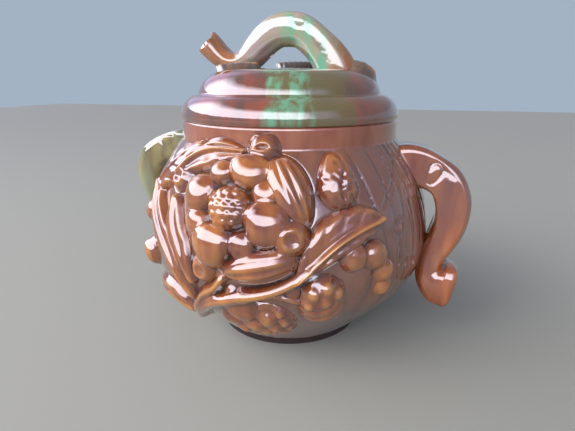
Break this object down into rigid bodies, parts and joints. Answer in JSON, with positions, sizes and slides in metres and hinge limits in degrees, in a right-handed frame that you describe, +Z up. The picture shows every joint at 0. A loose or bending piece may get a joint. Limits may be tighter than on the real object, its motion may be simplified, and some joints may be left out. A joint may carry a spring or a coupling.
{
  "type": "lidded ceramic jar",
  "caption": "Round-bellied lidded earthenware jar with branch handles, moulded fruit, nut and leaf relief and a two-tier lift-off lid.",
  "frame": {"origin": "centre of the foot ring, on the surface the jar stands on", "axes": "+Z up along the jar's axis, side handles on +X and -X, the middle of the front ornament panel faces -Y"},
  "size_m": [0.2948, 0.2456, 0.2565],
  "materials": {
    "jar_glaze": "glossy lead-type glaze",
    "ornament_glaze": "glossy lead-type glaze",
    "side_handle_glaze": "glossy lead-type glaze",
    "lid_glaze": "glossy lead-type glaze",
    "lid_handle_glaze": "glossy lead-type glaze",
    "lid_leaf_glaze": "glossy lead-type glaze"
  },
  "bodies": {
    "jar": {"back_almond_pod": "ornament_glaze", "back_berries": "ornament_glaze", "back_bramble": "ornament_glaze", "back_broad_bean": "ornament_glaze", "back_broad_leaf": "ornament_glaze", "back_buds": "ornament_glaze", "back_cherries": "ornament_glaze", "back_fir_cone": "ornament_glaze", "back_hazelnuts": "ornament_glaze", "back_husked_nut": "ornament_glaze", "back_inner_leaf": "ornament_glaze", "back_long_leaf": "ornament_glaze", "back_main_branch": "ornament_glaze", "back_rose_hips": "ornament_glaze", "back_serrated_leaf": "ornament_glaze", "back_side_fruit": "ornament_glaze", "back_side_pod": "ornament_glaze", "back_top_leaf": "ornament_glaze", "back_twig": "ornament_glaze", "back_walnut": "ornament_glaze", "front_almond_pod": "ornament_glaze", "front_berries": "ornament_glaze", "front_bramble": "ornament_glaze", "front_broad_bean": "ornament_glaze", "front_broad_leaf": "ornament_glaze", "front_buds": "ornament_glaze", "front_cherries": "ornament_glaze", "front_fir_cone": "ornament_glaze", "front_hazelnuts": "ornament_glaze", "front_husked_nut": "ornament_glaze", "front_inner_leaf": "ornament_glaze", "front_long_leaf": "ornament_glaze", "front_main_branch": "ornament_glaze", "front_rose_hips": "ornament_glaze", "front_serrated_leaf": "ornament_glaze", "front_side_fruit": "ornament_glaze", "front_side_pod": "ornament_glaze", "front_top_leaf": "ornament_glaze", "front_twig": "ornament_glaze", "front_walnut": "ornament_glaze", "jar_shell": "jar_glaze", "left_handle": "side_handle_glaze", "right_handle": "side_handle_glaze"},
    "lid": {"lid_handle": "lid_handle_glaze", "lid_left_leaf": "lid_leaf_glaze", "lid_shell": "lid_glaze", "lid_shoulder_leaf": "lid_leaf_glaze", "lid_veined_leaf": "lid_leaf_glaze"}
  },
  "joints": [
    {"name": "lid_lift", "type": "slide", "parent": "jar", "child": "lid", "axis": [0, 0, 1], "range_m": [0, 0.15]}
  ]
}
